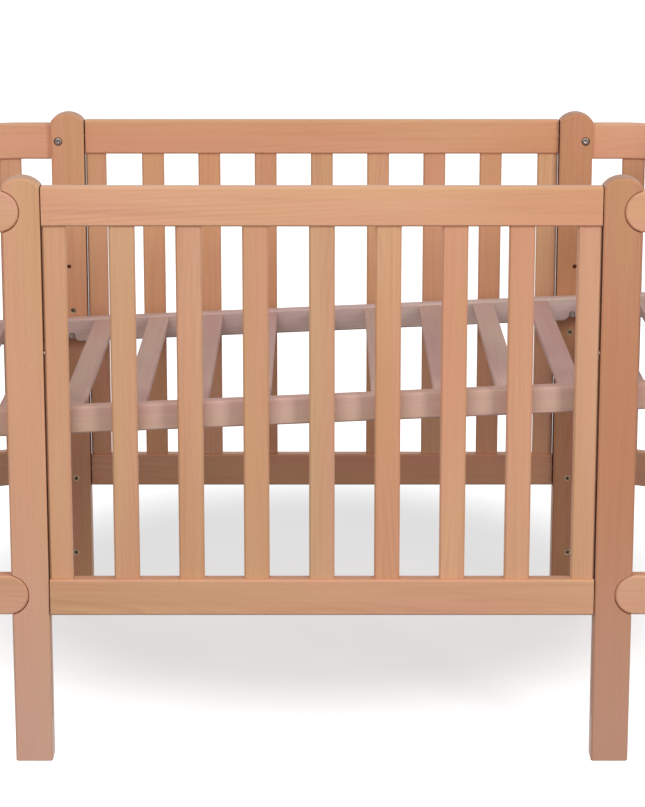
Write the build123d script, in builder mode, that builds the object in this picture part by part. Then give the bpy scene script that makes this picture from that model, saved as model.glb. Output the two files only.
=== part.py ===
# Child's crib of beech: four posts, two straight slatted sides, two bent ends and a slatted base.
# Millimetres. Origin on the floor under the middle; +X to the right, +Y to the back, +Z up.
from build123d import *
from math import atan2, cos, pi, sin
import os

os.makedirs("parts", exist_ok=True)

# Posts
post_width = 53.0
post_thickness = 34.0
post_shoulder_z = 837.0
post_crown_rise = 13.0
posts_outer_width = 880.0
posts_inner_depth = 604.0

# Rails and slats of the straight sides
rail_thickness = 22.0
arris = 2.5
side_gap = 1.5
side_top_rail_height = 55.0
side_bottom_rail_height = 53.0
side_bottom_z = 220.5
slat_thickness = 12.0
side_slat_width = 36.0
side_slat_pitch = 92.0
side_slats_each_way = 3
edge_slat_width = 33.0

# Bent rails and slats of the ends
end_rail_height = 58.0
end_rail_bottom_z = 221.5
end_rail_top_z = 831.5
end_straight_run = 45.0
end_corner_radius = 138.0
tip_centre_outside = 5.0
tip_clearance = 1.0
end_slat_width = 37.0
end_slats_each_way = 4
first_end_slat_run = 70.0

# Tenons and their mortises
tenon_shoulder = 5.0
tenon_thickness = 8.0
tenon_length = 12.0
mortise_clearance = 0.2

# Slatted base, lower at its left end by one hole of the posts
base_bolt_x = 409.5
base_bolt_low_z = 487.0
base_bolt_high_z = 523.0
base_rail_height = 38.5
base_rail_thickness = 22.0
base_rail_half_length = 536.0
base_rail_below_bolt = 11.5
base_to_post_gap = 2.0
base_slat_width = 34.0
base_slat_thickness = 10.0
base_slat_pitch = 88.5
base_slats_each_way = 5
base_slat_drop = 2.5
base_slat_arris = 1.5
base_tenon_thickness = 6.0
base_tenon_length = 10.0
end_board_thickness = 16.0
end_board_inner_x = 514.0
end_board_clearance = 10.0
end_board_tenon_shoulder = 4.0
end_board_tenon_thickness = 8.0

# Hardware; heads have twelve sides and small bores and shanks eight, which keeps the model light
head_sides = 12
bore_sides = 8
bolt_radius = 3.0
end_bolt_head_radius = 6.5
base_bolt_head_radius = 4.5
bolt_head_height = 5.0
hex_socket_across = 5.0
hex_socket_depth = 3.0
insert_radius = 5.0
insert_length = 13.0
insert_hex_across = 6.4
post_insert_places = (
    (413.5, 106.5),
    (410.5, 236.0),
    (base_bolt_x, base_bolt_low_z),
    (base_bolt_x, base_bolt_high_z),
)
plain_hole_x = 415.0
plain_hole_z = 597.0
plain_hole_radius = 3.5
plain_hole_depth = 12.0
end_bolt_x = 428.5
end_bolt_above_rail_centre = 1.5
head_pocket_radius = 7.0
head_pocket_depth = 5.6
bolt_hole_radius = 3.2
hook_clearance = 0.3
hook_mouth_drop = 3.0
head_to_rail_gap = 0.5
bolt_end_gap = 1.0

# Drop side: guide pins in upright grooves of the front posts
drop_travel = 180.0
guide_pin_radius = 3.0
guide_pin_reach = 7.0
guide_pin_seat = 14.0
upper_guide_pin_z = 602.0
groove_clearance = 0.5
groove_depth = 9.0
back_pin_radius = 4.0
back_pin_seat = 14.0
pin_end_gap = 1.0
foot_chamfer = 1.0

# Sizes that follow
post_x = (posts_outer_width - post_width) / 2
post_outer_x = posts_outer_width / 2
post_inner_x = post_outer_x - post_width
inner_face_y = posts_inner_depth / 2
outer_face_y = inner_face_y + post_thickness
rail_centre_y = outer_face_y - rail_thickness / 2
rail_inner_y = outer_face_y - rail_thickness
side_half_length = post_inner_x - side_gap
side_top_z = post_shoulder_z
side_slat_low_z = side_bottom_z + side_bottom_rail_height
side_slat_high_z = side_top_z - side_top_rail_height
end_corner_x = post_outer_x + end_straight_run
end_outer_x = end_corner_x + end_corner_radius
end_corner_y = outer_face_y - end_corner_radius
end_inner_radius = end_corner_radius - rail_thickness
end_middle_radius = end_corner_radius - rail_thickness / 2
end_slat_low_z = end_rail_bottom_z + end_rail_height
end_slat_high_z = end_rail_top_z - end_rail_height
tip_radius = end_rail_height / 2
tip_centre_x = post_outer_x + tip_centre_outside
end_run = end_straight_run + end_middle_radius * pi / 2 + end_corner_y
end_slat_pitch = (end_run - first_end_slat_run) / end_slats_each_way
lower_guide_pin_z = side_bottom_z + side_bottom_rail_height / 2
side_top_rail_z = side_top_z - side_top_rail_height / 2
base_outer_y = inner_face_y - base_to_post_gap
base_inner_y = base_outer_y - base_rail_thickness
base_tilt = atan2(base_bolt_high_z - base_bolt_low_z, 2 * base_bolt_x)
base_bottom_z = (base_bolt_low_z + base_bolt_high_z) / 2 - base_rail_below_bolt
base_top_of_slats = base_rail_height - base_slat_drop
base_slat_middle = base_top_of_slats - base_slat_thickness / 2
end_tenon_x = (base_rail_half_length + end_board_inner_x) / 2
end_tenon_width = base_rail_half_length - end_board_inner_x - 2 * end_board_tenon_shoulder
end_tenon_middle = base_top_of_slats - end_board_thickness / 2

# Directions of the tilted base: along its length and square up from it
base_along = Vector(cos(base_tilt), 0, sin(base_tilt))
base_up = Vector(-sin(base_tilt), 0, cos(base_tilt))
base_origin = Vector(0, 0, base_bottom_z)

side_slat_places = [
    (number * side_slat_pitch, side_slat_width)
    for number in range(-side_slats_each_way, side_slats_each_way + 1)
]
edge_slat_x = side_half_length - edge_slat_width / 2
side_slat_places = [(-edge_slat_x, edge_slat_width)] + side_slat_places + [(edge_slat_x, edge_slat_width)]


def save(piece, name):
    """Label one finished piece and write its file."""
    piece.part.label = name
    export_step(piece.part, f"parts/{name}.step")


def mirrored(piece, plane):
    """The same piece on the other side of a plane."""
    with BuildPart() as twin:
        mirror(piece.part, about=plane)
    return twin


def side_rail(y, low_z, height):
    """A straight rail of a side, its long edges rounded, mortised for the slats."""
    middle_z = low_z + height / 2
    is_top = low_z > side_slat_low_z
    slat_face_z = low_z if is_top else low_z + height
    with BuildPart() as rail:
        with BuildSketch(Plane.YZ.offset(-side_half_length)):
            with Locations((y, middle_z)):
                section = Rectangle(rail_thickness, height)
            chamfer(section.vertices(), length=arris)
        extrude(amount=2 * side_half_length)
        with BuildSketch(Plane.XY.offset(slat_face_z)):
            for x, width in side_slat_places:
                with Locations((x, y)):
                    Rectangle(
                        width - 2 * tenon_shoulder + mortise_clearance,
                        tenon_thickness + mortise_clearance,
                    )
        depth = tenon_length + mortise_clearance
        extrude(amount=depth if is_top else -depth, mode=Mode.SUBTRACT)
    return rail


def slat(place, width, low_z, high_z):
    """An upright slat with a tenon at each end, standing on a plane at its middle."""
    with BuildPart() as bar:
        with BuildSketch(place.offset(low_z)):
            section = Rectangle(width, slat_thickness)
            chamfer(section.vertices(), length=arris)
        extrude(amount=high_z - low_z)
        with BuildSketch(place.offset(low_z - tenon_length)):
            Rectangle(width - 2 * tenon_shoulder, tenon_thickness)
        extrude(amount=high_z - low_z + 2 * tenon_length)
    return bar


def face_across_x(x, y, z, direction):
    """A plane across X at a point, looking the way that a hole or pin runs."""
    return Plane(origin=(x, y, z), x_dir=(0, 1, 0), z_dir=(direction, 0, 0))


def end_rail_heights():
    """Lowest height of the bottom and of the top end rail."""
    return (end_rail_bottom_z, end_rail_top_z - end_rail_height)


def end_bolt_heights():
    """Heights of the bolts that hold the rail ends."""
    return [low_z + end_rail_height / 2 + end_bolt_above_rail_centre for low_z in end_rail_heights()]


def right_front_post(has_grooves):
    """A post with a crowned top; the bent rails let into it, holes for the base and the side."""
    with BuildPart() as post:
        with BuildSketch(Plane.XZ.offset(inner_face_y)):
            with BuildLine():
                left = post_x - post_width / 2
                right = post_x + post_width / 2
                Polyline(
                    (left, post_shoulder_z), (left, 0), (right, 0), (right, post_shoulder_z)
                )
                ThreePointArc(
                    (right, post_shoulder_z),
                    (post_x, post_shoulder_z + post_crown_rise),
                    (left, post_shoulder_z),
                )
            make_face()
        extrude(amount=post_thickness)
        foot_edges = post.faces().sort_by(Axis.Z)[0].edges()
        arrises = post.faces().filter_by(Axis.Y).edges() - foot_edges
        chamfer(arrises, length=arris)
        chamfer(post.faces().sort_by(Axis.Z)[0].edges(), length=foot_chamfer)

        # Round-ended recesses in the outer face, open at the outer edge, for the bent rails
        with BuildSketch(Plane.XZ.offset(outer_face_y)):
            for low_z in end_rail_heights():
                with Locations((tip_centre_x, low_z + end_rail_height / 2)):
                    Circle(tip_radius + tip_clearance)
        extrude(amount=-rail_thickness, mode=Mode.SUBTRACT)

        # Holes in the inner face: sunk ones for the rail bolts, then seats for the base's inserts
        # at several heights, and one plain hole
        inner_face = Plane.XZ.offset(inner_face_y)
        bolt_places = [(end_bolt_x, z) for z in end_bolt_heights()]
        for places, radius, depth, sides in (
            (bolt_places, head_pocket_radius, head_pocket_depth, head_sides),
            (bolt_places, bolt_hole_radius, post_thickness, bore_sides),
            (post_insert_places, insert_radius, insert_length, bore_sides),
            ([(plain_hole_x, plain_hole_z)], plain_hole_radius, plain_hole_depth, head_sides),
        ):
            with BuildSketch(inner_face):
                with Locations(*places):
                    RegularPolygon(radius, sides)
            extrude(amount=depth, mode=Mode.SUBTRACT)

        # Guide grooves of a front post, or the pin holes of a back post
        if has_grooves:
            groove_width = 2 * (guide_pin_radius + groove_clearance)
            with BuildSketch(Plane.YZ.offset(post_inner_x)):
                for pin_z in (upper_guide_pin_z, lower_guide_pin_z):
                    with Locations((-rail_centre_y, pin_z - drop_travel / 2)):
                        Rectangle(groove_width, drop_travel + groove_width)
            extrude(amount=groove_depth, mode=Mode.SUBTRACT)
        else:
            for pin_z in (side_top_rail_z, lower_guide_pin_z):
                with BuildSketch(face_across_x(post_inner_x, -rail_centre_y, pin_z, 1)):
                    RegularPolygon(back_pin_radius, bore_sides)
                extrude(amount=back_pin_seat, mode=Mode.SUBTRACT)
    return post


def bent_outline(inset):
    """Plan line of the bent end from the front post to the back post, moved inwards by inset."""
    radius = end_corner_radius - inset
    face_y = outer_face_y - inset
    tip_x = tip_centre_x - tip_radius
    with BuildLine() as line:
        Line((tip_x, -face_y), (end_corner_x, -face_y))
        RadiusArc((end_corner_x, -face_y), (end_corner_x + radius, -end_corner_y), -radius)
        Line((end_corner_x + radius, -end_corner_y), (end_corner_x + radius, end_corner_y))
        RadiusArc((end_corner_x + radius, end_corner_y), (end_corner_x, face_y), -radius)
        Line((end_corner_x, face_y), (tip_x, face_y))
    return line


def end_slat_place(number):
    """Plane of an end slat, counted from the middle, square across the bent rail's middle line."""
    run = end_run - abs(number) * end_slat_pitch
    side = -1 if number < 0 else 1
    arc_run = end_middle_radius * pi / 2
    if run > end_straight_run + arc_run:
        x = end_corner_x + end_middle_radius
        y = end_run - run
        turn = pi / 2
    else:
        turn = (run - end_straight_run) / end_middle_radius
        x = end_corner_x + end_middle_radius * sin(turn)
        y = end_corner_y + end_middle_radius * cos(turn)
    along = (cos(turn), -side * sin(turn), 0)
    return Plane(origin=(x, side * y, 0), x_dir=along, z_dir=(0, 0, 1))


def right_end_rail(low_z):
    """A bent rail in one piece, its ends full round and let into the posts."""
    is_top = low_z > end_slat_low_z
    middle_z = low_z + end_rail_height / 2
    with BuildPart() as rail:
        outer = bent_outline(0).line
        inner = bent_outline(rail_thickness).line
        with BuildSketch(Plane.XY.offset(low_z)):
            with BuildLine():
                add(outer)
                add(inner)
                Line(outer @ 0, inner @ 0)
                Line(outer @ 1, inner @ 1)
            make_face()
        extrude(amount=end_rail_height)
        reach = 2 * (end_outer_x - tip_centre_x)
        with BuildSketch(Plane.XZ):
            with Locations((tip_centre_x, middle_z)):
                Circle(tip_radius)
                Rectangle(reach, end_rail_height, align=(Align.MIN, Align.CENTER))
        extrude(amount=2 * outer_face_y, both=True, mode=Mode.INTERSECT)

        # Ease the long edges, which run on round both tips
        across_tips = [
            edge
            for edge in rail.edges().filter_by(Axis.Y)
            if edge.center().X < tip_centre_x + arris
        ]
        long_edges = rail.edges().filter_by(Axis.Z, reverse=True) - ShapeList(across_tips)
        chamfer(long_edges, length=arris)

        slat_face_z = low_z if is_top else low_z + end_rail_height
        depth = tenon_length + mortise_clearance
        for number in range(-end_slats_each_way, end_slats_each_way + 1):
            with BuildSketch(end_slat_place(number).offset(slat_face_z)):
                Rectangle(
                    end_slat_width - 2 * tenon_shoulder + mortise_clearance,
                    tenon_thickness + mortise_clearance,
                )
            extrude(amount=depth if is_top else -depth, mode=Mode.SUBTRACT)

        # Seats for the inserts in both tips
        bolt_z = middle_z + end_bolt_above_rail_centre
        for side in (-1, 1):
            seat = Plane(
                origin=(end_bolt_x, side * rail_inner_y, bolt_z), x_dir=(1, 0, 0), z_dir=(0, side, 0)
            )
            with BuildSketch(seat):
                RegularPolygon(insert_radius, bore_sides)
            extrude(amount=insert_length, mode=Mode.SUBTRACT)
    return rail


def base_side_rail():
    """The front rail of the base, hooked over the bolts of the posts from above."""
    with BuildPart() as rail:
        start = base_origin - base_along * base_rail_half_length
        section = Plane(origin=start, x_dir=(0, 1, 0), z_dir=base_along)
        with BuildSketch(section):
            with Locations((-(base_outer_y + base_inner_y) / 2, base_rail_height / 2)):
                outline = Rectangle(base_rail_thickness, base_rail_height)
            chamfer(outline.vertices(), length=arris)
        extrude(amount=2 * base_rail_half_length)

        # Mortises for the slats in the inner face
        face_origin = base_origin - Vector(0, base_inner_y, 0)
        inner_face = Plane(origin=face_origin, x_dir=base_along, z_dir=(0, -1, 0))
        with BuildSketch(inner_face):
            for number in range(-base_slats_each_way, base_slats_each_way + 1):
                with Locations((number * base_slat_pitch, base_slat_middle)):
                    Rectangle(
                        base_slat_width - 2 * tenon_shoulder + mortise_clearance,
                        base_tenon_thickness + mortise_clearance,
                    )
            for side in (-1, 1):
                with Locations((side * end_tenon_x, end_tenon_middle)):
                    Rectangle(
                        end_tenon_width + mortise_clearance,
                        end_board_tenon_thickness + mortise_clearance,
                    )
        extrude(amount=base_tenon_length + mortise_clearance, mode=Mode.SUBTRACT)

        # Upright hooks, round over the bolts, each with a mouth below that widens at 45 degrees
        hook_radius = bolt_radius + hook_clearance
        hook_depth = 2 * base_rail_below_bolt
        mouth_half_width = hook_radius + hook_depth - hook_mouth_drop
        with BuildSketch(Plane.XZ):
            for x, z in ((-base_bolt_x, base_bolt_low_z), (base_bolt_x, base_bolt_high_z)):
                with Locations((x, z)):
                    RegularPolygon(hook_radius, head_sides)
                    Rectangle(2 * hook_radius, hook_depth, align=(Align.CENTER, Align.MAX))
                    Polygon(
                        (-hook_radius, -hook_mouth_drop),
                        (-mouth_half_width, -hook_depth),
                        (mouth_half_width, -hook_depth),
                        (hook_radius, -hook_mouth_drop),
                        align=None,
                    )
        extrude(amount=outer_face_y, mode=Mode.SUBTRACT)
    return rail


def bolt(shank_length, head_radius):
    """A hex-socket bolt along +Z, the underside of its head at the origin."""
    with BuildPart() as screw:
        with BuildSketch(Plane.XY.offset(-shank_length)):
            RegularPolygon(bolt_radius, bore_sides)
        extrude(amount=shank_length)
        with BuildSketch():
            RegularPolygon(head_radius, head_sides)
        extrude(amount=bolt_head_height)
        with BuildSketch(Plane.XY.offset(bolt_head_height)):
            RegularPolygon(hex_socket_across / 2, 6, major_radius=False)
        extrude(amount=-hex_socket_depth, mode=Mode.SUBTRACT)
    return screw


def facing_middle(x, y, z):
    """Place on a face across Y, looking from that face towards the middle of the crib."""
    side = 1 if y > 0 else -1
    return Plane(origin=(x, y, z), x_dir=(side, 0, 0), z_dir=(0, -side, 0)).location


# Posts
front_post = right_front_post(has_grooves=True)
back_post = mirrored(right_front_post(has_grooves=False), Plane.XZ)
save(front_post, "post_front_right")
save(mirrored(front_post, Plane.YZ), "post_front_left")
save(back_post, "post_back_right")
save(mirrored(back_post, Plane.YZ), "post_back_left")

# Front and back sides
for side_name, side_y in (("front", -rail_centre_y), ("back", rail_centre_y)):
    top_rail = side_rail(side_y, side_slat_high_z, side_top_rail_height)
    bottom_rail = side_rail(side_y, side_bottom_z, side_bottom_rail_height)
    pin_heights = {"front": [lower_guide_pin_z], "back": [side_top_rail_z, lower_guide_pin_z]}[side_name]
    pin_radius = guide_pin_radius if side_name == "front" else back_pin_radius
    seat = guide_pin_seat if side_name == "front" else back_pin_seat
    for rail_name, rail in (("top", top_rail), ("bottom", bottom_rail)):
        with BuildPart() as drilled_rail:
            add(rail.part)
            for pin_z in pin_heights:
                if (pin_z > side_slat_low_z) == (rail_name == "top"):
                    for x_side in (-1, 1):
                        with BuildSketch(
                            face_across_x(x_side * side_half_length, side_y, pin_z, -x_side)
                        ):
                            RegularPolygon(pin_radius, bore_sides)
                        extrude(amount=seat, mode=Mode.SUBTRACT)
        save(drilled_rail, f"{side_name}_{rail_name}_rail")
    for number, (x, width) in enumerate(side_slat_places, start=1):
        place = Plane(origin=(x, side_y, 0))
        bar = slat(place, width, side_slat_low_z, side_slat_high_z)
        if side_name == "front" and width == edge_slat_width:
            x_side = 1 if x > 0 else -1
            with BuildPart() as drilled_slat:
                add(bar.part)
                with BuildSketch(
                    face_across_x(x_side * side_half_length, side_y, upper_guide_pin_z, -x_side)
                ):
                    RegularPolygon(pin_radius, bore_sides)
                extrude(amount=seat, mode=Mode.SUBTRACT)
            bar = drilled_slat
        save(bar, f"{side_name}_slat_{number}")

# Bent ends
for rail_name, low_z in zip(("bottom", "top"), end_rail_heights()):
    rail = right_end_rail(low_z)
    save(rail, f"right_end_{rail_name}_rail")
    save(mirrored(rail, Plane.YZ), f"left_end_{rail_name}_rail")
for number in range(-end_slats_each_way, end_slats_each_way + 1):
    bar = slat(end_slat_place(number), end_slat_width, end_slat_low_z, end_slat_high_z)
    place_number = number + end_slats_each_way + 1
    save(bar, f"right_end_slat_{place_number}")
    save(mirrored(bar, Plane.YZ), f"left_end_slat_{place_number}")

# Base
front_rail = base_side_rail()
save(front_rail, "base_front_rail")
save(mirrored(front_rail, Plane.XZ), "base_back_rail")

with BuildPart() as base_slats:
    for number in range(-base_slats_each_way, base_slats_each_way + 1):
        middle = base_origin + base_along * (number * base_slat_pitch) + base_up * base_slat_middle
        across = Plane(origin=middle, x_dir=base_along, z_dir=(0, 1, 0))
        with BuildSketch(across):
            section = Rectangle(base_slat_width, base_slat_thickness)
            chamfer(section.vertices(), length=base_slat_arris)
        extrude(amount=base_inner_y, both=True)
        with BuildSketch(across):
            Rectangle(base_slat_width - 2 * tenon_shoulder, base_tenon_thickness)
        extrude(amount=base_inner_y + base_tenon_length, both=True)
save(base_slats, "base_slats")

for side_name, side in (("left", -1), ("right", 1)):
    with BuildPart() as end_board:
        lie = Plane(origin=base_origin + base_up * base_top_of_slats, x_dir=base_along, z_dir=base_up)
        with BuildSketch(lie):
            RectangleRounded(
                2 * (end_outer_x - rail_thickness - end_board_clearance),
                2 * (rail_inner_y - end_board_clearance),
                end_inner_radius - end_board_clearance,
            )
            with Locations((side * end_board_inner_x, 0)):
                half_plane = (Align.MIN if side > 0 else Align.MAX, Align.CENTER)
                Rectangle(end_outer_x, 2 * outer_face_y, align=half_plane, mode=Mode.INTERSECT)
            for rail_y in (-base_outer_y, base_outer_y):
                with Locations((side * end_tenon_x, rail_y)):
                    Rectangle(
                        base_rail_half_length - end_board_inner_x,
                        2 * base_rail_thickness,
                        mode=Mode.SUBTRACT,
                    )
        extrude(amount=-end_board_thickness)
        tenon_drop = (end_board_thickness + end_board_tenon_thickness) / 2
        with BuildSketch(lie.offset(-tenon_drop)):
            with Locations((side * end_tenon_x, 0)):
                Rectangle(end_tenon_width, 2 * (base_inner_y + base_tenon_length))
        extrude(amount=end_board_tenon_thickness)
    save(end_board, f"base_{side_name}_end_board")

# Bolts of the bent rails, two at each post, heads sunk in the posts' inner faces
end_bolt_reach = post_thickness - rail_thickness - head_pocket_depth
end_bolt = bolt(end_bolt_reach + insert_length - bolt_end_gap, end_bolt_head_radius)
with BuildPart() as end_rail_bolts:
    for x in (-end_bolt_x, end_bolt_x):
        for y in (-inner_face_y - head_pocket_depth, inner_face_y + head_pocket_depth):
            for z in end_bolt_heights():
                add(end_bolt.part.moved(facing_middle(x, y, z)))
save(end_rail_bolts, "end_rail_bolts")

# Bolts that carry the base
base_bolt_reach = inner_face_y - base_inner_y + head_to_rail_gap
base_bolt = bolt(base_bolt_reach + insert_length - bolt_end_gap, base_bolt_head_radius)
with BuildPart() as base_bolts:
    for x, z in ((-base_bolt_x, base_bolt_low_z), (base_bolt_x, base_bolt_high_z)):
        for y in (-inner_face_y + base_bolt_reach, inner_face_y - base_bolt_reach):
            add(base_bolt.part.moved(facing_middle(x, y, z)))
save(base_bolts, "base_bolts")

# Inserts with a hex socket, in the posts and in the tips of the bent rails
with BuildPart() as insert:
    with BuildSketch():
        RegularPolygon(insert_radius, bore_sides)
        RegularPolygon(insert_hex_across / 2, 6, major_radius=False, mode=Mode.SUBTRACT)
    extrude(amount=-insert_length)
with BuildPart() as threaded_inserts:
    for x_side in (-1, 1):
        for y_side in (-1, 1):
            for x, z in post_insert_places:
                add(insert.part.moved(facing_middle(x_side * x, y_side * inner_face_y, z)))
            for z in end_bolt_heights():
                add(insert.part.moved(facing_middle(x_side * end_bolt_x, y_side * rail_inner_y, z)))
save(threaded_inserts, "threaded_inserts")

# Guide pins of the drop side and fixed pins of the back side
for name, y, heights, radius, seat, reach in (
    ("guide_pins", -rail_centre_y, (upper_guide_pin_z, lower_guide_pin_z), guide_pin_radius,
     guide_pin_seat, side_gap + guide_pin_reach),
    ("back_side_pins", rail_centre_y, (side_top_rail_z, lower_guide_pin_z), back_pin_radius,
     back_pin_seat, side_gap + back_pin_seat - pin_end_gap),
):
    with BuildPart() as pins:
        for x_side in (-1, 1):
            start_x = x_side * (side_half_length - seat)
            for z in heights:
                with BuildSketch(face_across_x(start_x, y, z, x_side)):
                    RegularPolygon(radius, bore_sides)
                extrude(amount=seat + reach)
    save(pins, name)
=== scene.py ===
# Beech crib: finishes, fittings and a plain studio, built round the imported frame.
# Metres, same place and axes as the frame: +X right, +Y back, +Z up, floor at zero.
import bpy
import bmesh
from math import cos, pi, radians, sin
from random import Random
from mathutils import Euler, Matrix, Vector


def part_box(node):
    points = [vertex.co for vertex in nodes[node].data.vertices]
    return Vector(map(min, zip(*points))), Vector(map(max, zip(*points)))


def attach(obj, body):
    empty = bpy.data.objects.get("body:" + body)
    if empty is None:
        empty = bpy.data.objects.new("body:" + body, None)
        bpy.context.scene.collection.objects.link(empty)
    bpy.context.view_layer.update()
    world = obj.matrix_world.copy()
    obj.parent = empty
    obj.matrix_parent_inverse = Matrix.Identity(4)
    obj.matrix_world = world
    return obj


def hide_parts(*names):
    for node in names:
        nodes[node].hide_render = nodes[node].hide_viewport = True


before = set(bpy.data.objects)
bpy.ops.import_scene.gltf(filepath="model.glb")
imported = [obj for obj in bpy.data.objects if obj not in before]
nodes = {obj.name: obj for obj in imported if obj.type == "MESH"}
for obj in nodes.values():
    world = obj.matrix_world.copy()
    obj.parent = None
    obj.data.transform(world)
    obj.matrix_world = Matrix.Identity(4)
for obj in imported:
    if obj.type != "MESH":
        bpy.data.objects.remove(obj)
bpy.context.view_layer.update()
scene = bpy.context.scene
scene.view_settings.view_transform = "Standard"
print("crib frame loaded:", len(nodes), "pieces")


# Camera, straight in front and a little above the rails

camera = {
    "place": (0.0, -3.66, 1.40),
    "lookDown": 12.2,  # degrees
    "lens": 109.85,
    "shiftX": 0.0008,
    "shiftY": -0.13,  # keeps the posts nearly upright in the picture
}


def placeCamera():
    data = bpy.data.cameras.new("studio_camera")
    data.lens = camera["lens"]
    data.shift_x = camera["shiftX"]
    data.shift_y = camera["shiftY"]
    data.dof.use_dof = False
    obj = bpy.data.objects.new("studio_camera", data)
    obj.location = camera["place"]
    obj.rotation_euler = (radians(90 - camera["lookDown"]), 0, 0)
    scene.collection.objects.link(obj)
    scene.camera = obj


placeCamera()
print("camera placed")


# Small helpers for node trees

def addNode(tree, kind, inputs=None, **settings):
    node = tree.nodes.new(kind)
    for name, value in settings.items():
        setattr(node, name, value)
    for name, value in (inputs or {}).items():
        if isinstance(value, bpy.types.NodeSocket):
            tree.links.new(value, node.inputs[name])
        else:
            node.inputs[name].default_value = value
    return node


def calc(tree, operation, first, second=0.0):
    return addNode(tree, "ShaderNodeMath", {0: first, 1: second}, operation=operation).outputs[0]


def vector(tree, operation, first, second):
    return addNode(tree, "ShaderNodeVectorMath", {0: first, 1: second}, operation=operation).outputs[0]


def blendColours(tree, amount, first, second, how="MIX"):
    node = addNode(tree, "ShaderNodeMix", data_type="RGBA", blend_type=how)
    for socket, value in ((node.inputs[0], amount), (node.inputs[6], first), (node.inputs[7], second)):
        if isinstance(value, bpy.types.NodeSocket):
            tree.links.new(value, socket)
        else:
            socket.default_value = value
    return node.outputs[2]


def between(tree, value, low, high):
    # climbs smoothly from 0 at low to 1 at high
    limits = {0: value, 1: low, 2: high, 3: 0.0, 4: 1.0}
    return addNode(tree, "ShaderNodeMapRange", limits, interpolation_type="SMOOTHSTEP").outputs[0]


def seenRay(tree):
    # 1 for rays that show the studio itself: straight, mirrored or through glass
    ray = tree.nodes.new("ShaderNodeLightPath")
    seen = calc(tree, "MAXIMUM", ray.outputs["Is Camera Ray"], ray.outputs["Is Glossy Ray"])
    return calc(tree, "MAXIMUM", seen, ray.outputs["Is Transmission Ray"])


def splitXYZ(tree, place):
    return addNode(tree, "ShaderNodeSeparateXYZ", {0: place}).outputs


def joinXYZ(tree, x, y, z=0.0):
    return addNode(tree, "ShaderNodeCombineXYZ", {0: x, 1: y, 2: z}).outputs[0]


def lengthOf(tree, place):
    return addNode(tree, "ShaderNodeVectorMath", {0: place}, operation="LENGTH").outputs["Value"]


def noiseNode(tree, place, seed, stretch, detail=2.0):
    scaled = vector(tree, "MULTIPLY", place, stretch)
    settings = {"Vector": scaled, "W": seed, "Scale": 1.0, "Detail": detail, "Roughness": 0.55}
    return addNode(tree, "ShaderNodeTexNoise", settings, noise_dimensions="4D")


def stretchedNoise(tree, place, seed, stretch, detail=2.0):
    return noiseNode(tree, place, seed, stretch, detail).outputs[0]


def noiseColour(tree, place, seed, stretch):
    # three noises at once, as a vector
    return noiseNode(tree, place, seed, stretch).outputs["Color"]


def srgb(red, green, blue):
    # picture values from 0 to 255, as the shader wants them
    linear = [((v / 255 + 0.055) / 1.055) ** 2.4 for v in (red, green, blue)]
    return (*linear, 1.0)


# Beech: growth rings, fibre, ray flecks and slow changes of tone, shared by every wooden piece

beech = {
    "ringPitch": 0.0062,
    "ringSway": 0.024,  # how far the rings wander
    "ringWobble": 0.0035,  # and how uneven their spacing is
    "ringLean": 0.06,  # trunk's taper, which draws the long arches
    "lateWood": (0.30, 0.88),  # darkens over this part of each ring, then stops short
    "ringAmount": 0.20,
    "fibreAmount": 0.12,
    "bandAmount": 0.22,  # soft streaks a few millimetres wide
    "fleckAmount": 0.30,
    "endAmount": 0.55,  # end grain is darker
    "endFacing": (0.55, 0.95),  # how squarely a face has to cut the grain to show it
    "rosyTint": (255, 247, 251),
    "honeyTint": (252, 254, 243),
    "fibreHeight": 0.4,
    "ringHeight": 0.25,
    "fleckDepth": 0.5,
    "bumpStrength": 0.25,
    "bumpDistance": 0.0004,
    "fibreRough": 0.12,  # gloss is broken up along the fibre
    "specular": 0.30,
}

# How drawn out each kind of mark is: blotches to a metre, along the grain and across it
wander = {
    "sway": (1.7, 14, 14),
    "wobble": (3.5, 60, 60),
}
wobbleStep = 11.8  # keeps its noise apart from the sway's

# The same, with how far each moves the seed on, its detail, and the noise levels it fades in between
marks = {
    "patch": {"stretch": (2.2, 26, 26), "step": 7.3, "detail": 2.0, "levels": (0.45, 0.72)},
    "fibre": {"stretch": (8, 560, 560), "step": 1.7, "detail": 3.0, "levels": (0.35, 0.75)},
    "band": {"stretch": (4.5, 150, 150), "step": 3.1, "detail": 3.0, "levels": (0.42, 0.72)},
    "zone": {"stretch": (2.6, 42, 42), "step": 14.2, "detail": 2.0, "levels": (0.3, 0.7)},
    "tone": {"stretch": (1.4, 10, 10), "step": 5.9, "detail": 1.0, "levels": (0.3, 0.7)},
    "hue": {"stretch": (2.0, 24, 24), "step": 17.6, "detail": 2.0, "levels": (0.34, 0.66)},
    "fleck": {"stretch": (230, 1500, 1500), "step": 9.4, "detail": 1.0, "levels": (0.64, 0.71)},
}


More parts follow.
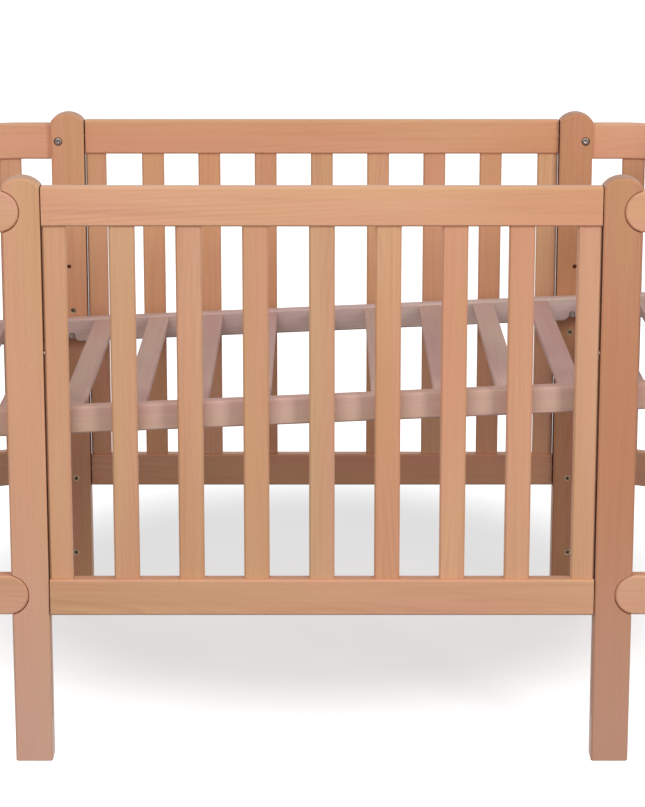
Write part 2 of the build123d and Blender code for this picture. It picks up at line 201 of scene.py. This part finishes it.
def beechGrainGroup():
    tree = bpy.data.node_groups.new("beech grain", "ShaderNodeTree")
    face = tree.interface
    for name, kind in (
        ("Place", "NodeSocketVector"),
        ("Pith", "NodeSocketVector"),
        ("Seed", "NodeSocketFloat"),
        ("End", "NodeSocketFloat"),
        ("Light", "NodeSocketColor"),
        ("Warm", "NodeSocketColor"),
        ("Dark", "NodeSocketColor"),
    ):
        face.new_socket(name, in_out="INPUT", socket_type=kind)
    for name, kind in (
        ("Color", "NodeSocketColor"),
        ("Height", "NodeSocketFloat"),
        ("Fibre", "NodeSocketFloat"),
    ):
        face.new_socket(name, in_out="OUTPUT", socket_type=kind)
    given = tree.nodes.new("NodeGroupInput").outputs
    place, seed = given["Place"], given["Seed"]

    # rings round a pith that lies outside the piece, wandering along its length
    sway = noiseColour(tree, place, seed, wander["sway"])
    wobble = noiseColour(tree, place, calc(tree, "ADD", seed, wobbleStep), wander["wobble"])
    fromPith = vector(tree, "SUBTRACT", place, given["Pith"])
    for noise, reach in ((sway, beech["ringSway"]), (wobble, beech["ringWobble"])):
        centred = vector(tree, "SUBTRACT", noise, (0.5, 0.5, 0.5))
        offset = vector(tree, "MULTIPLY", centred, (reach, reach, reach))
        fromPith = vector(tree, "ADD", fromPith, offset)
    radius = lengthOf(tree, vector(tree, "MULTIPLY", fromPith, (0, 1, 1)))
    along = splitXYZ(tree, place)[0]
    leaning = calc(tree, "ADD", radius, calc(tree, "MULTIPLY", along, beech["ringLean"]))
    turn = calc(tree, "FRACT", calc(tree, "DIVIDE", leaning, beech["ringPitch"]))
    lateFrom, lateTo = beech["lateWood"]
    early = calc(tree, "SUBTRACT", 1.0, between(tree, turn, lateTo, 1.0))
    late = calc(tree, "MULTIPLY", between(tree, turn, lateFrom, lateTo), early)

    # marks drawn out along the grain, each from a seed of its own
    noises = {}
    amounts = {}
    for kind, mark in marks.items():
        markSeed = calc(tree, "ADD", seed, mark["step"])
        noises[kind] = stretchedNoise(tree, place, markSeed, mark["stretch"], mark["detail"])
        amounts[kind] = between(tree, noises[kind], *mark["levels"])
    rings = calc(tree, "MULTIPLY", late, amounts["patch"])
    band = calc(tree, "MULTIPLY", amounts["band"], amounts["zone"])
    fibre, fleck = amounts["fibre"], amounts["fleck"]

    colour = blendColours(tree, amounts["tone"], given["Light"], given["Warm"])
    tint = blendColours(tree, amounts["hue"], srgb(*beech["rosyTint"]), srgb(*beech["honeyTint"]))
    colour = blendColours(tree, 1.0, colour, tint, "MULTIPLY")
    for amount, share in (
        (rings, beech["ringAmount"]),
        (fibre, beech["fibreAmount"]),
        (band, beech["bandAmount"]),
        (fleck, beech["fleckAmount"]),
        (given["End"], beech["endAmount"]),
    ):
        colour = blendColours(tree, calc(tree, "MULTIPLY", amount, share), colour, given["Dark"])

    raised = calc(tree, "MULTIPLY", fibre, beech["fibreHeight"])
    sunk = calc(tree, "MULTIPLY", fleck, beech["fleckDepth"])
    height = calc(tree, "SUBTRACT", raised, sunk)
    height = calc(tree, "ADD", height, calc(tree, "MULTIPLY", rings, beech["ringHeight"]))
    result = tree.nodes.new("NodeGroupOutput").inputs
    for key, value in (("Color", colour), ("Height", height), ("Fibre", noises["fibre"])):
        tree.links.new(value, result[key])
    return tree


grainGroup = beechGrainGroup()

# Each batch of beech, from its palest wood to its darkest line, and how rough its surface is left
batches = {
    "post_beech": {
        "light": (235, 180, 142),
        "warm": (225, 165, 125),
        "dark": (181, 121, 89),
        "paintedBounce": (232, 190, 172),  # painted bounce light from the floor: a pinker tint towards the floor
        "rough": 0.40,
    },
    "side_beech": {
        "light": (239, 188, 150),
        "warm": (231, 173, 134),
        "dark": (187, 128, 93),
        "rough": 0.40,
    },
    "end_beech": {
        "light": (239, 187, 152),
        "warm": (231, 175, 139),
        "dark": (188, 130, 98),
        "rough": 0.40,
    },
    "base_beech": {
        "light": (231, 203, 195),
        "warm": (219, 185, 178),
        "dark": (178, 140, 130),
        "rough": 0.60,
    },
    "base_rail_beech": {
        "light": (232, 197, 181),
        "warm": (218, 177, 161),
        "dark": (172, 128, 110),
        "rough": 0.56,
    },
}

# How far one board strays from its batch, and what one step of tone does to its colour
boards = {
    "redder": 1.2,
    "darker": 1.1,
    "darkerStep": 0.022,
    "greenStep": 0.014,
    "blueStep": 0.020,
    # how strongly the painted floor-bounce tint shows at the foot of a post
    "paintedBounceShare": 0.55,
    "pithOut": (0.02, 0.07),  # the middle of the tree, metres to the side of the board
    "pithBelow": (0.02, 0.09),
    "seeds": 60,
    "slatSeedStep": 4.37,
}

# Which way the grain runs: turns that bring it onto the X of the grain's own space
grainTurns = {
    "upright": Euler((0, radians(90), 0)),
    "lengthwise": Euler((0, 0, 0)),
    "across": Euler((0, 0, radians(-90))),
}

bentRail = {
    "cornerRadius": 0.138,  # outer face
    "thickness": 0.022,
}


def bentRailPlace(tree, place, middleZ):
    # run along the bend, distance out from its middle line, height
    low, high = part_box("right_end_top_rail")
    middleRadius = bentRail["cornerRadius"] - bentRail["thickness"] / 2
    cornerX = high.x - bentRail["cornerRadius"]
    cornerY = high.y - bentRail["cornerRadius"]
    x, y, z = splitXYZ(tree, place)
    pastX = calc(tree, "SUBTRACT", calc(tree, "ABSOLUTE", x), cornerX)
    pastY = calc(tree, "SUBTRACT", calc(tree, "ABSOLUTE", y), cornerY)
    overX = calc(tree, "MAXIMUM", pastX, 0.0)
    overY = calc(tree, "MAXIMUM", pastY, 0.0)
    turned = calc(tree, "MULTIPLY", calc(tree, "ARCTAN2", overX, overY), middleRadius)
    leg = calc(tree, "ADD", calc(tree, "MINIMUM", pastX, 0.0), turned)
    run = calc(tree, "SUBTRACT", leg, calc(tree, "MINIMUM", pastY, 0.0))
    halfRun = middleRadius * pi / 2 + cornerY
    fromMiddle = calc(tree, "MULTIPLY", calc(tree, "SUBTRACT", halfRun, run), calc(tree, "SIGN", y))
    out = lengthOf(tree, joinXYZ(tree, overX, overY))
    fromMiddleLine = calc(tree, "SUBTRACT", out, middleRadius)
    return joinXYZ(tree, fromMiddle, fromMiddleLine, calc(tree, "SUBTRACT", z, middleZ))


# Inner faces of the posts where the sides fit close against them: shade painted dark into the narrow
# joint, where little light reaches, and the surface made rougher there to dull its sheen
paintedJointShade = {
    "colour": (104, 58, 30),
    "share": 0.92,
    "rougher": 0.45,
    "startsAt": (0.303, 0.313),  # distance from the middle of the crib, front to back
    "heights": (0.221, 0.836),
    "fade": 0.002,
    "facing": (0.7, 0.95),
}


def paintedJointShadeMask(tree, place, normal):
    x, y, z = splitXYZ(tree, place)
    facing = splitXYZ(tree, normal)[0]
    inward = calc(tree, "MULTIPLY", calc(tree, "MULTIPLY", facing, calc(tree, "SIGN", x)), -1.0)
    low, high = paintedJointShade["heights"]
    fade = paintedJointShade["fade"]
    aboveFoot = between(tree, z, low - fade, low)
    inHeight = calc(tree, "MULTIPLY", aboveFoot, between(tree, z, high + fade, high))
    inDepth = between(tree, calc(tree, "ABSOLUTE", y), *paintedJointShade["startsAt"])
    onFace = calc(tree, "MULTIPLY", between(tree, inward, *paintedJointShade["facing"]), inHeight)
    return calc(tree, "MULTIPLY", onFace, inDepth)


def grainPlace(tree, coordinates, box, grain, tilt, inRow):
    # the board's own space, X along the grain, and how much of a face is end grain
    low, high = box
    middle = (low + high) / 2
    place = coordinates.outputs["Object"]
    if grain == "bent":
        return bentRailPlace(tree, place, middle.z), 0.0
    turn = Euler((0, tilt, 0)) if tilt else grainTurns[grain]
    if inRow:
        middle.x = 0.0
    shift = -(turn.to_matrix() @ middle)
    settings = {"Vector": place, "Location": shift, "Rotation": turn}
    local = addNode(tree, "ShaderNodeMapping", settings).outputs[0]
    settings = {"Vector": coordinates.outputs["Normal"], "Rotation": turn}
    facing = addNode(tree, "ShaderNodeMapping", settings).outputs[0]
    lengthwise = calc(tree, "ABSOLUTE", splitXYZ(tree, facing)[0])
    return local, between(tree, lengthwise, *beech["endFacing"])


def boardShades(batch, redder, darker):
    fade = 1.0 - boards["darkerStep"] * darker
    green = fade * (1 - boards["greenStep"] * redder)
    blue = fade * (1 - boards["blueStep"] * redder)
    shades = {}
    for key, colour in batch.items():
        if key != "rough":
            shades[key] = srgb(*(value * part for value, part in zip(colour, (fade, green, blue))))
    return shades


def beechFor(name, batchName, grain, tilt=0.0, tone=(0.0, 0.0), slatPitch=0.0, paintedBounceBelow=0.0):
    # tone is how much redder and how much darker this board is than its batch
    batch = batches[batchName]
    dice = Random(name)
    redder = tone[0] + dice.uniform(-boards["redder"], boards["redder"])
    darker = tone[1] + dice.uniform(-boards["darker"], boards["darker"])
    shades = boardShades(batch, redder, darker)
    material = bpy.data.materials.new(name + "_beech")
    material.use_nodes = True
    tree = material.node_tree
    tree.nodes.clear()
    coordinates = tree.nodes.new("ShaderNodeTexCoord")
    place = coordinates.outputs["Object"]
    local, end = grainPlace(tree, coordinates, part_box(name), grain, tilt, slatPitch > 0)
    seed = dice.uniform(0, boards["seeds"])
    pithOut = dice.choice((-1, 1)) * dice.uniform(*boards["pithOut"])
    pithBelow = dice.choice((-1, 1)) * dice.uniform(*boards["pithBelow"])
    if slatPitch:
        # one board per slat: its number in the row moves the seed on
        number = calc(tree, "ROUND", calc(tree, "DIVIDE", splitXYZ(tree, place)[0], slatPitch))
        seed = calc(tree, "ADD", calc(tree, "MULTIPLY", number, boards["slatSeedStep"]), seed)
    settings = {
        "Place": local,
        "Pith": (0, pithOut, pithBelow),
        "Seed": seed,
        "End": end,
        "Light": shades["light"],
        "Warm": shades["warm"],
        "Dark": shades["dark"],
    }
    grainNode = tree.nodes.new("ShaderNodeGroup")
    grainNode.node_tree = grainGroup
    for key, value in settings.items():
        if isinstance(value, bpy.types.NodeSocket):
            tree.links.new(value, grainNode.inputs[key])
        else:
            grainNode.inputs[key].default_value = value
    colour = grainNode.outputs["Color"]
    uneven = calc(tree, "MULTIPLY", grainNode.outputs["Fibre"], beech["fibreRough"])
    rough = calc(tree, "ADD", uneven, batch["rough"] - beech["fibreRough"] / 2)
    # painted bounce light: the post turns pinker towards the floor, below this height
    if paintedBounceBelow:
        height = splitXYZ(tree, place)[2]
        lower = calc(tree, "SUBTRACT", 1.0, between(tree, height, 0.0, paintedBounceBelow))
        share = calc(tree, "MULTIPLY", lower, boards["paintedBounceShare"])
        colour = blendColours(tree, share, colour, shades["paintedBounce"])
    # painted shade: the post's inner face darkens in the narrow joint beside the sides
    if batchName == "post_beech":
        joint = paintedJointShadeMask(tree, place, coordinates.outputs["Normal"])
        share = calc(tree, "MULTIPLY", joint, paintedJointShade["share"])
        colour = blendColours(tree, share, colour, srgb(*paintedJointShade["colour"]))
        rough = calc(tree, "ADD", rough, calc(tree, "MULTIPLY", joint, paintedJointShade["rougher"]))
    settings = {
        "Height": grainNode.outputs["Height"],
        "Strength": beech["bumpStrength"],
        "Distance": beech["bumpDistance"],
    }
    bump = addNode(tree, "ShaderNodeBump", settings).outputs[0]
    settings = {"Base Color": colour, "Roughness": rough, "Normal": bump}
    shader = addNode(tree, "ShaderNodeBsdfPrincipled", settings)
    shader.inputs["Specular IOR Level"].default_value = beech["specular"]
    output = tree.nodes.new("ShaderNodeOutputMaterial")
    tree.links.new(shader.outputs[0], output.inputs[0])
    return material


# Edges: the frame's flat chamfers are sanded round

easing = {
    "weld": 0.00002,
    "width": 0.0011,
    "railWidth": 0.0006,  # on the base's rails, whose mortises lie close under the edge
    "segments": 2,
    "flatterThan": 0.6,  # degrees, faces that count as one flat
    "sharperThan": 35.0,  # degrees, edges that are eased
}


def smoothStart():
    # joins the frame's split corners and drops its stored normals, so that edges can be eased
    tree = bpy.data.node_groups.new("sanded start", "GeometryNodeTree")
    tree.interface.new_socket("Geometry", in_out="INPUT", socket_type="NodeSocketGeometry")
    tree.interface.new_socket("Geometry", in_out="OUTPUT", socket_type="NodeSocketGeometry")
    start = tree.nodes.new("NodeGroupInput")
    settings = {"Geometry": start.outputs[0], "Distance": easing["weld"]}
    joined = addNode(tree, "GeometryNodeMergeByDistance", settings)
    settings = {
        "Mesh": joined.outputs[0],
        "Remove Custom": True,
        "Edge Sharpness": False,
        "Face Sharpness": False,
    }
    smooth = addNode(tree, "GeometryNodeSetMeshNormal", settings, mode="SHARPNESS")
    finish = tree.nodes.new("NodeGroupOutput")
    tree.links.new(smooth.outputs[0], finish.inputs[0])
    return tree


sandedStart = smoothStart()


def easeEdges(obj, width=easing["width"]):
    start = obj.modifiers.new("sanded start", "NODES")
    start.node_group = sandedStart
    flat = obj.modifiers.new("one face per flat", "DECIMATE")
    flat.decimate_type = "DISSOLVE"
    flat.angle_limit = radians(easing["flatterThan"])
    bevel = obj.modifiers.new("eased edges", "BEVEL")
    bevel.width = width
    bevel.segments = easing["segments"]
    bevel.limit_method = "ANGLE"
    bevel.angle_limit = radians(easing["sharperThan"])
    bevel.harden_normals = True


def dress(name, material):
    obj = nodes[name]
    obj.material_slots[0].link = "OBJECT"
    obj.material_slots[0].material = material


# Posts: the right pair is cut from redder, darker boards

posts = {
    "post_front_left": {"tone": (0.0, 0.0), "paintedBounceBelow": 0.45},
    "post_front_right": {"tone": (3.0, 3.9), "paintedBounceBelow": 0.45},
    "post_back_left": {"tone": (1.0, 0.8), "paintedBounceBelow": 0.0},
    "post_back_right": {"tone": (2.6, 4.2), "paintedBounceBelow": 0.0},
}
for name, look in posts.items():
    dress(name, beechFor(name, "post_beech", "upright", **look))
    easeEdges(nodes[name])
print("posts finished")


# Front and back sides

straightSides = {
    "topRailTone": (0.0, 0.0),
    "bottomRailTone": (1.0, 1.8),
    "slatTone": (0.2, 0.8),
}


def slatsOf(start):
    return sorted(name for name in nodes if name.startswith(start))


for side in ("front", "back"):
    for rail in ("top", "bottom"):
        name = f"{side}_{rail}_rail"
        tone = straightSides[rail + "RailTone"]
        dress(name, beechFor(name, "side_beech", "lengthwise", tone=tone))
        easeEdges(nodes[name])
    for name in slatsOf(side + "_slat_"):
        dress(name, beechFor(name, "side_beech", "upright", tone=straightSides["slatTone"]))
        easeEdges(nodes[name])
print("sides finished")


# Bent ends

bentEnds = {
    "slatTone": (0.2, 0.8),
}
for side in ("left", "right"):
    for rail in ("top", "bottom"):
        name = f"{side}_end_{rail}_rail"
        dress(name, beechFor(name, "end_beech", "bent"))
        easeEdges(nodes[name])
    for name in slatsOf(side + "_end_slat_"):
        dress(name, beechFor(name, "end_beech", "upright", tone=bentEnds["slatTone"]))
        easeEdges(nodes[name])
print("bent ends finished")


# Base, unlacquered, a little higher on the right

base = {
    "tilt": radians(2.526),
    "slatPitch": 0.0885,
    # painted light: the back rail takes the paler slat batch and a lighter, less red tone, standing in
    # for the light it misses in the shade of the slats
    "backRailTone": (-3.0, -3.0),
}
rails = {
    "base_front_rail": {"batchName": "base_rail_beech"},
    "base_back_rail": {"batchName": "base_beech", "tone": base["backRailTone"]},
}
for name, look in rails.items():
    dress(name, beechFor(name, grain="lengthwise", tilt=base["tilt"], **look))
    easeEdges(nodes[name], easing["railWidth"])
dress("base_slats", beechFor("base_slats", "base_beech", "across", slatPitch=base["slatPitch"]))
for name in ("base_left_end_board", "base_right_end_board"):
    dress(name, beechFor(name, "base_beech", "across"))
for name in ("base_slats", "base_left_end_board", "base_right_end_board"):
    easeEdges(nodes[name])
print("base finished")


# Steel: dark bolts, plated inserts and pins

steels = {
    "bolt_steel": {"colour": (150, 140, 134), "rough": 0.34},
    "insert_steel": {"colour": (176, 160, 136), "rough": 0.38},
    "pin_steel": {"colour": (196, 192, 186), "rough": 0.28},
}
steelWear = {
    "stretch": (420, 420, 420),
    "seed": 3.0,
    "detail": 3.0,
    "levels": (0.35, 0.7),
    "darker": 0.62,
    "rougher": 0.2,
}


def steelFor(name):
    finish = steels[name]
    wear = steelWear
    material = bpy.data.materials.new(name)
    material.use_nodes = True
    tree = material.node_tree
    shader = tree.nodes["Principled BSDF"]
    place = tree.nodes.new("ShaderNodeTexCoord").outputs["Object"]
    worn = stretchedNoise(tree, place, wear["seed"], wear["stretch"], wear["detail"])
    light = srgb(*finish["colour"])
    dark = tuple(v * wear["darker"] for v in light[:3]) + (1.0,)
    colour = blendColours(tree, between(tree, worn, *wear["levels"]), light, dark)
    tree.links.new(colour, shader.inputs["Base Color"])
    uneven = calc(tree, "MULTIPLY", worn, wear["rougher"])
    rough = calc(tree, "ADD", uneven, finish["rough"] - wear["rougher"] / 2)
    tree.links.new(rough, shader.inputs["Roughness"])
    shader.inputs["Metallic"].default_value = 1.0
    return material


steelMaterials = {name: steelFor(name) for name in steels}


def hexagonReach(angle, across):
    # distance from the middle to a hexagon's side in a direction
    part = (angle + pi / 6) % (pi / 3) - pi / 6
    return across / 2 / cos(part)


def turnedMesh(name, rows, sides=48):
    # rows of (height, radius) or (height, across, "hex"), from one end to the other, with flat caps
    shape = bmesh.new()
    rings = []
    for row in rows:
        ring = []
        for number in range(sides):
            angle = 2 * pi * number / sides
            radius = hexagonReach(angle, row[1]) if len(row) > 2 else row[1]
            ring.append(shape.verts.new((radius * cos(angle), radius * sin(angle), row[0])))
        rings.append(ring)
    for lower, upper in zip(rings, rings[1:]):
        for number in range(sides):
            after = (number + 1) % sides
            shape.faces.new((lower[number], lower[after], upper[after], upper[number]))
    shape.faces.new(list(reversed(rings[0])))
    shape.faces.new(rings[-1])
    mesh = bpy.data.meshes.new(name)
    bmesh.ops.recalc_face_normals(shape, faces=shape.faces)
    shape.to_mesh(mesh)
    shape.free()
    return mesh


def joinCopies(name, mesh, places):
    # one object from a copy of the mesh at each place
    shape = bmesh.new()
    for place in places:
        copy = mesh.copy()
        copy.transform(place)
        shape.from_mesh(copy)
        bpy.data.meshes.remove(copy)
    whole = bpy.data.meshes.new(name)
    shape.to_mesh(whole)
    shape.free()
    obj = bpy.data.objects.new(name, whole)
    scene.collection.objects.link(obj)
    return obj


turnedSharp = radians(30)


sameCorner = 0.00001


def solidBoxes(name):
    # lowest and highest corner of each separate solid in a frame node
    shape = bmesh.new()
    shape.from_mesh(nodes[name].data)
    bmesh.ops.remove_doubles(shape, verts=shape.verts, dist=sameCorner)
    left = set(shape.verts)
    found = []
    while left:
        stack = [left.pop()]
        piece = []
        while stack:
            vert = stack.pop()
            piece.append(vert.co.copy())
            for edge in vert.link_edges:
                other = edge.other_vert(vert)
                if other in left:
                    left.remove(other)
                    stack.append(other)
        low = Vector(min(co[axis] for co in piece) for axis in range(3))
        high = Vector(max(co[axis] for co in piece) for axis in range(3))
        found.append((low, high))
    shape.free()
    return sorted(found, key=lambda box: tuple(round(v, 5) for v in box[0]))


def facingMiddle(low, high):
    # stands a turned piece along Y, its tail outside and its head looking to the middle of the crib
    middle = (low + high) / 2
    side = 1 if middle.y > 0 else -1
    tailY = high.y if side > 0 else low.y
    turn = Euler((radians(90) * side, 0, 0)).to_matrix().to_4x4()
    return Matrix.Translation((middle.x, tailY, middle.z)) @ turn


socketBolt = {
    "shank": 0.0030,
    "tip": 0.00234,
    "tipEase": 0.0007,
    "headHeight": 0.0050,
    "headEase": 0.0003,
    "flatRadius": 0.0036,  # the head's flat top, inside its rounded rim
    # down from the top and share of the rim's width in from the side
    "rim": ((0.0020, 0.0), (0.0011, 0.12), (0.0005, 0.38), (0.0001, 0.72), (0.0, 1.0)),
    "mouthRadius": 0.0031,
    "mouthEase": 0.0004,
    "hexAcross": 0.0050,
    "hexDepth": 0.0030,
    "drillDepth": 0.0007,  # the drill's cone below the hexagon
    "drillTip": 0.0008,
}


def socketBoltMesh(total, head):
    b = socketBolt
    under = total - b["headHeight"]
    rimWidth = head - b["flatRadius"]
    hexFloor = total - b["hexDepth"]
    rows = [
        (0.0, b["tip"]),
        (b["tipEase"], b["shank"]),
        (under, b["shank"]),
        (under, head - b["headEase"]),
        (under + b["headEase"], head),
    ]
    rows += [(total - down, head - rimWidth * share) for down, share in b["rim"]]
    rows += [
        (total, b["mouthRadius"]),
        (total - b["mouthEase"], b["hexAcross"], "hex"),
        (hexFloor, b["hexAcross"], "hex"),
        (hexFloor - b["drillDepth"], b["drillTip"]),
    ]
    return turnedMesh("socket_bolt", rows)


def finishFitting(obj, steel, frameNode, body):
    obj.data.shade_smooth()
    obj.data.set_sharp_from_angle(angle=turnedSharp)
    obj.data.materials.append(steelMaterials[steel])
    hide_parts(frameNode)
    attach(obj, body)


def makeBolts(name, frameNode):
    boxes = solidBoxes(frameNode)
    size = boxes[0][1] - boxes[0][0]
    mesh = socketBoltMesh(size.y, size.x / 2)
    obj = joinCopies(name, mesh, [facingMiddle(low, high) for low, high in boxes])
    finishFitting(obj, "bolt_steel", frameNode, "crib_frame")


makeBolts("end_rail_socket_bolts", "end_rail_bolts")
makeBolts("base_socket_bolts", "base_bolts")
print("bolts made")


insert = {
    "radius": 0.0050,
    "tailEase": 0.0008,
    "rimEase": 0.0004,
    "mouthRadius": 0.0041,
    "hexAcross": 0.0064,
    "hexDepth": 0.0045,
    "thread": 0.0031,
    "tailWall": 0.0012,
}


def makeInserts(name, frameNode):
    i = insert
    boxes = solidBoxes(frameNode)
    length = boxes[0][1].y - boxes[0][0].y
    rows = [
        (0.0, i["radius"] - i["tailEase"]),
        (i["tailEase"], i["radius"]),
        (length - i["rimEase"], i["radius"]),
        (length, i["radius"] - i["rimEase"]),
        (length, i["mouthRadius"]),
        (length - i["rimEase"], i["hexAcross"], "hex"),
        (length - i["hexDepth"], i["hexAcross"], "hex"),
        (length - i["hexDepth"], i["thread"]),
        (i["tailWall"], i["thread"]),
    ]
    mesh = turnedMesh("threaded_insert", rows)
    obj = joinCopies(name, mesh, [facingMiddle(low, high) for low, high in boxes])
    finishFitting(obj, "insert_steel", frameNode, "crib_frame")


makeInserts("post_and_rail_inserts", "threaded_inserts")
print("inserts made")


sidePin = {
    "ease": 0.25,  # rounding of its ends, as a share of its radius
    "sides": 32,
}


def makePins(name, frameNode, body):
    boxes = solidBoxes(frameNode)
    low, high = boxes[0]
    length = high.x - low.x
    radius = (high.z - low.z) / 2
    ease = radius * sidePin["ease"]
    rows = [(0, radius - ease), (ease, radius), (length - ease, radius), (length, radius - ease)]
    mesh = turnedMesh("side_pin", rows, sidePin["sides"])
    turn = Euler((0, radians(90), 0)).to_matrix().to_4x4()
    places = []
    for low, high in boxes:
        middle = (low + high) / 2
        places.append(Matrix.Translation((low.x, middle.y, middle.z)) @ turn)
    finishFitting(joinCopies(name, mesh, places), "pin_steel", frameNode, body)


makePins("drop_side_guide_pins", "guide_pins", "drop_side")
makePins("back_side_fixing_pins", "back_side_pins", "crib_frame")
print("pins made")


# Studio: white floor with a painted glow, dimmer under the crib where the soft rendered shadow shows,
# white all round, soft light from the front

floor = {
    "half": 14.0,
    "bounce": (0.19, 0.21, 0.27),  # what the wood sees
    "shown": 0.55,  # what the picture shows of the light on it
    "glow": 0.52,
    "shadowMiddle": (0.0, 0.45, 0.0),
    "shadowFrom": 0.42,  # metres from there, where the floor starts to clear
    "shadowTo": 0.86,  # and where it is pure white
}


def makeFloor():
    shape = bmesh.new()
    bmesh.ops.create_grid(shape, x_segments=4, y_segments=4, size=floor["half"])
    mesh = bpy.data.meshes.new("studio_floor")
    shape.to_mesh(mesh)
    shape.free()
    obj = bpy.data.objects.new("studio_floor", mesh)
    scene.collection.objects.link(obj)
    material = bpy.data.materials.new("studio_floor_white")
    material.use_nodes = True
    tree = material.node_tree
    tree.nodes.clear()
    shown = floor["shown"]
    place = tree.nodes.new("ShaderNodeTexCoord").outputs["Object"]
    away = lengthOf(tree, vector(tree, "SUBTRACT", place, floor["shadowMiddle"]))
    # painted light: the floor's glow rises from its least under the crib to full white further out,
    # fading the shadow away
    whiter = between(tree, away, floor["shadowFrom"], floor["shadowTo"])
    strength = calc(tree, "ADD", calc(tree, "MULTIPLY", whiter, 1 - floor["glow"]), floor["glow"])
    paint = addNode(tree, "ShaderNodeBsdfDiffuse", {"Color": (shown, shown, shown, 1)})
    glow = addNode(tree, "ShaderNodeEmission", {"Color": (1, 1, 1, 1), "Strength": strength})
    picture = addNode(tree, "ShaderNodeAddShader", {0: paint.outputs[0], 1: glow.outputs[0]})
    plain = addNode(tree, "ShaderNodeBsdfDiffuse", {"Color": (*floor["bounce"], 1)})
    parts = {0: seenRay(tree), 1: plain.outputs[0], 2: picture.outputs[0]}
    mix = addNode(tree, "ShaderNodeMixShader", parts)
    output = tree.nodes.new("ShaderNodeOutputMaterial")
    tree.links.new(mix.outputs[0], output.inputs[0])
    mesh.materials.append(material)


makeFloor()

surround = {
    "light": (0.97, 0.98, 1.0),
    "level": 0.42,
}


def makeSurround():
    world = bpy.data.worlds.new("studio_surround")
    world.use_nodes = True
    tree = world.node_tree
    tree.nodes.clear()
    settings = {"Color": (*surround["light"], 1), "Strength": surround["level"]}
    soft = addNode(tree, "ShaderNodeBackground", settings)
    white = addNode(tree, "ShaderNodeBackground", {"Color": (1, 1, 1, 1), "Strength": 1.0})
    parts = {0: seenRay(tree), 1: soft.outputs[0], 2: white.outputs[0]}
    mix = addNode(tree, "ShaderNodeMixShader", parts)
    output = tree.nodes.new("ShaderNodeOutputWorld")
    tree.links.new(mix.outputs[0], output.inputs[0])
    scene.world = world


makeSurround()

softboxes = {
    "key_softbox": {
        "place": (2.6, -3.6, 2.3),
        "size": 1.1,
        "watts": 62.0,
        "colour": (1.0, 0.98, 0.93),
    },
    "fill_softbox": {
        "place": (-1.0, -3.8, 3.0),
        "size": 2.6,
        "watts": 68.0,
        "colour": (1.0, 0.985, 0.97),
    },
}
softboxesAimAt = (0, 0, 0.45)


def makeSoftbox(name, box):
    data = bpy.data.lights.new(name, "AREA")
    data.shape = "SQUARE"
    data.size = box["size"]
    data.energy = box["watts"]
    data.color = box["colour"]
    obj = bpy.data.objects.new(name, data)
    obj.location = box["place"]
    aim = Vector(softboxesAimAt) - Vector(box["place"])
    obj.rotation_euler = aim.to_track_quat("-Z", "Y").to_euler()
    scene.collection.objects.link(obj)


for name, box in softboxes.items():
    makeSoftbox(name, box)
print("studio lit")


# Bring the scene up to date

bpy.context.view_layer.update()
